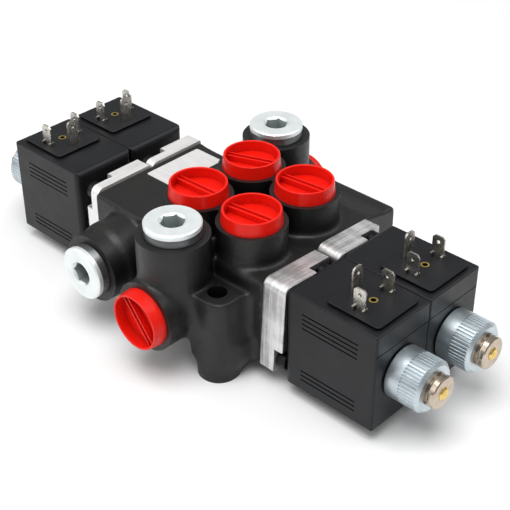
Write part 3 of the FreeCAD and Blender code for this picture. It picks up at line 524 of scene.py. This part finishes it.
def add_lug(bm, flank):
    """Lug, the web that ties it to the port column, and the flare down to its foot."""
    side = FLANKS[flank]
    toward = -side
    place = mount_place("lug_hole_" + flank)[0]
    column_x = mount_place(COLUMN_PORTS[flank])[0].x
    half_x, half_y = LUG_HALF_X + SMOOTH_SWELL, LUG_HALF_Y + SMOOTH_SWELL
    wall = side * (WALL_Y - LUG_ROOT)
    front = place.y + side * half_y
    top = LUG_TOP_Z + CUT_MARGIN
    round_y = front - side * LUG_CORNER_R
    round_x = place.x + toward * (half_x - LUG_CORNER_R)
    add_block(bm, (place.x - half_x, wall, BELLY_Z), (place.x + half_x, round_y, top))
    add_block(bm, (place.x - toward * half_x, wall, BELLY_Z), (round_x, front, top))
    add_rod(bm, (round_x, round_y, BELLY_Z), (round_x, round_y, top), LUG_CORNER_R)
    foot_r = LUG_FOOT_R + SMOOTH_SWELL
    add_rod(bm, (place.x, place.y, -MACHINING_STOCK), (place.x, place.y, LUG_FOOT_TOP_Z), foot_r)
    add_block(bm, (place.x, wall, WEB_BOTTOM_Z), (column_x, side * (WALL_Y + WEB_OUT), LUG_TOP_Z))
    outline = [(place.x + toward * x * MM, z * MM) for x, z in LUG_FLARE]
    add_extrusion(bm, [(x, wall, z) for x, z in outline], [(x, place.y, z) for x, z in outline])


def broaden_fillets(piece):
    """Softens the casting further round each lug, fading out towards the rest of the body."""
    group = piece.vertex_groups.new(name="lugs")
    places = [mount_place("lug_hole_" + flank)[0].xy for flank in FLANKS]
    for vertex in piece.data.vertices:
        reach = min((vertex.co.xy - place).length for place in places)
        weight = (BROAD_REACH - reach) / BROAD_FADE
        if weight > 0:
            group.add([vertex.index], min(1.0, weight), "REPLACE")
    smooth = piece.modifiers.new("broad", "SMOOTH")
    smooth.factor = SMOOTH_FACTOR
    smooth.iterations = BROAD_STEPS
    smooth.vertex_group = "lugs"
    apply_modifiers(piece)


def smooth_skin(piece, voxel, steps, keep):
    """Melts a union into one skin with filleted corners, then keeps that share of its faces."""
    remesh = piece.modifiers.new("skin", "REMESH")
    remesh.mode = "VOXEL"
    remesh.voxel_size = voxel
    smooth = piece.modifiers.new("fillets", "SMOOTH")
    smooth.factor = SMOOTH_FACTOR
    smooth.iterations = steps
    if keep < 1:
        thin = piece.modifiers.new("thin", "DECIMATE")
        thin.ratio = keep
    apply_modifiers(piece)


def lug_pocket(flank):
    """Space above a lug, with rounded bottom corners against the wall and the port column."""
    side = FLANKS[flank]
    place = mount_place("lug_hole_" + flank)[0]
    column = mount_place(COLUMN_PORTS[flank])[0]
    bm = bmesh.new()
    far_corner = (place.x - side * POCKET_LENGTH, place.y + side * POCKET_REACH, POCKET_TOP_Z)
    add_block(bm, (column.x, side * WALL_Y, LUG_TOP_Z), far_corner)
    pocket = object_from(bm, "lug_pocket")
    bm = bmesh.new()
    add_rod(bm, (column.x, column.y, 0), (column.x, column.y, COLUMN_CUT_Z), COLUMN_R)
    carve(pocket, object_from(bm, "column"), "DIFFERENCE")
    smooth_skin(pocket, VOXEL, SMOOTH_STEPS // 2, 1)
    return pocket


def finish_casting():
    piece = rough_casting()
    smooth_skin(piece, VOXEL, SMOOTH_STEPS, 1)
    broaden_fillets(piece)
    for flank in FLANKS:
        carve(piece, lug_pocket(flank), "DIFFERENCE")
    smooth_skin(piece, FINE_VOXEL, FINE_STEPS, FINE_KEEP)
    machine_faces(piece)
    smooth_shading(piece)
    return piece


def machine_faces(piece):
    """Cuts the stock off the machined faces, then opens the ports, lug holes and spool bores."""
    low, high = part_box("valve_body")
    envelope = bmesh.new()
    add_box(envelope, low, high)
    carve(piece, object_from(envelope, "envelope"), "INTERSECT")
    spare = mount_place("port_spare")[0]
    beyond = bmesh.new()
    add_box(beyond, (spare.x - SPARE_CUT, spare.y - SPARE_CUT, -SPARE_CUT),
            (spare.x + SPARE_CUT, spare.y, spare.z + 2 * SPARE_CUT))
    carve(piece, object_from(beyond, "spare_face"), "DIFFERENCE")
    holes = bmesh.new()
    for name, mount in MOUNTS.items():
        if name.startswith("port_"):
            place, axis = mount_place(name)
            add_rod(holes, place - axis * PORT_DEPTH, place + axis * CUT_MARGIN, PORT_R)
        if name.startswith("lug_hole"):
            place = mount_place(name)[0]
            top = LUG_TOP_Z + MACHINING_STOCK
            radius = mount["dims"]["r_mm"] * MM
            add_rod(holes, (place.x, place.y, -CUT_MARGIN), (place.x, place.y, top), radius)
    for row in ROWS:
        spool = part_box("spool_" + row)
        centre = (spool[0] + spool[1]) / 2
        reach = X * (high.x + CUT_MARGIN)
        add_rod(holes, centre - reach, centre + reach, BORE_R)
    carve(piece, object_from(holes, "holes"), "DIFFERENCE")


def coned_seals():
    """The three bonded seals, whose steel rings taper towards the plug."""
    bm = bmesh.new()
    shoulder_r = SEAL_TOP_R + SEAL_EDGE
    outline = [
        (SEAL_INNER_R, 0), (SEAL_R - SEAL_EDGE, 0), (SEAL_R, SEAL_EDGE),
        (shoulder_r, SEAL_H - SEAL_EDGE), (SEAL_TOP_R, SEAL_H), (SEAL_INNER_R, SEAL_H)]
    for name in ("port_pressure_top", "port_tank_top", "port_spare"):
        place, axis = mount_place(name)
        add_ring(bm, place, axis, outline)
    piece = object_from(bm, "bonded_seals_coned")
    smooth_shading(piece)
    return piece


def stand_in(piece, body, node, material):
    """Shows a piece in place of a CAD node."""
    piece.data.materials.clear()
    piece.data.materials.append(MATERIALS[material])
    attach(piece, body)
    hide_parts(node)


# ---------------------------------------------------------------- stage
def add_floor():
    bm = bmesh.new()
    add_box(bm, (-FLOOR_HALF, -FLOOR_HALF, -FLOOR_THICKNESS), (FLOOR_HALF, FLOOR_HALF, 0))
    floor = object_from(bm, "floor")
    m = Nodes("floor")
    m.set(Base_Color=m.mix(m.noise(3, 2), (0.86, 0.86, 0.86), (0.88, 0.88, 0.88)), Roughness=0.9)
    floor.data.materials.append(m.material)


def direction(azimuth, elevation):
    """Unit vector from the object; azimuth 0 is the -Y side, 90 the +X side."""
    a, e = math.radians(azimuth), math.radians(elevation)
    return Vector((math.sin(a) * math.cos(e), -math.cos(a) * math.cos(e), math.sin(e)))


def add_light(name, azimuth, elevation, distance, size, power):
    """A softbox that faces the object."""
    lamp = bpy.data.lights.new(name, "AREA")
    lamp.shape = "RECTANGLE"
    lamp.size, lamp.size_y = size
    lamp.energy = power
    piece = bpy.data.objects.new(name, lamp)
    bpy.context.scene.collection.objects.link(piece)
    piece.location = direction(azimuth, elevation) * distance
    piece.rotation_euler = (Vector(LIGHT_TARGET) - piece.location).to_track_quat("-Z", "Y").to_euler()


def add_world():
    """Soft, even studio surround."""
    world = bpy.data.worlds.new("studio")
    world.use_nodes = True
    background = world.node_tree.nodes["Background"]
    background.inputs["Color"].default_value = (1, 1, 1, 1)
    background.inputs["Strength"].default_value = SURROUND
    bpy.context.scene.world = world


def add_camera():
    lens = bpy.data.cameras.new("camera")
    lens.sensor_width = SENSOR_WIDTH
    lens.lens = CAMERA_LENS
    lens.clip_start, lens.clip_end = 0.01, 50
    piece = bpy.data.objects.new("camera", lens)
    bpy.context.scene.collection.objects.link(piece)
    back = direction(CAMERA_AZIMUTH, CAMERA_ELEVATION)
    turn = back.to_track_quat("Z", "Y").to_matrix() @ Matrix.Rotation(math.radians(CAMERA_ROLL), 3, "Z")
    piece.matrix_world = Matrix.Translation(CAMERA_TARGET + back * CAMERA_DISTANCE) @ turn.to_4x4()
    bpy.context.scene.camera = piece


def add_studio():
    add_world()
    add_floor()
    for name, values in LIGHTS.items():
        add_light(name, *values)
    add_camera()
    bpy.context.scene.view_settings.view_transform = "Standard"


# ---------------------------------------------------------------- build
paint_cad_nodes()
stand_in(finish_casting(), "valve_block", "valve_body", "body_paint")
stand_in(coned_seals(), "valve_block", "plug_seals", "bonded_seal")
add_studio()
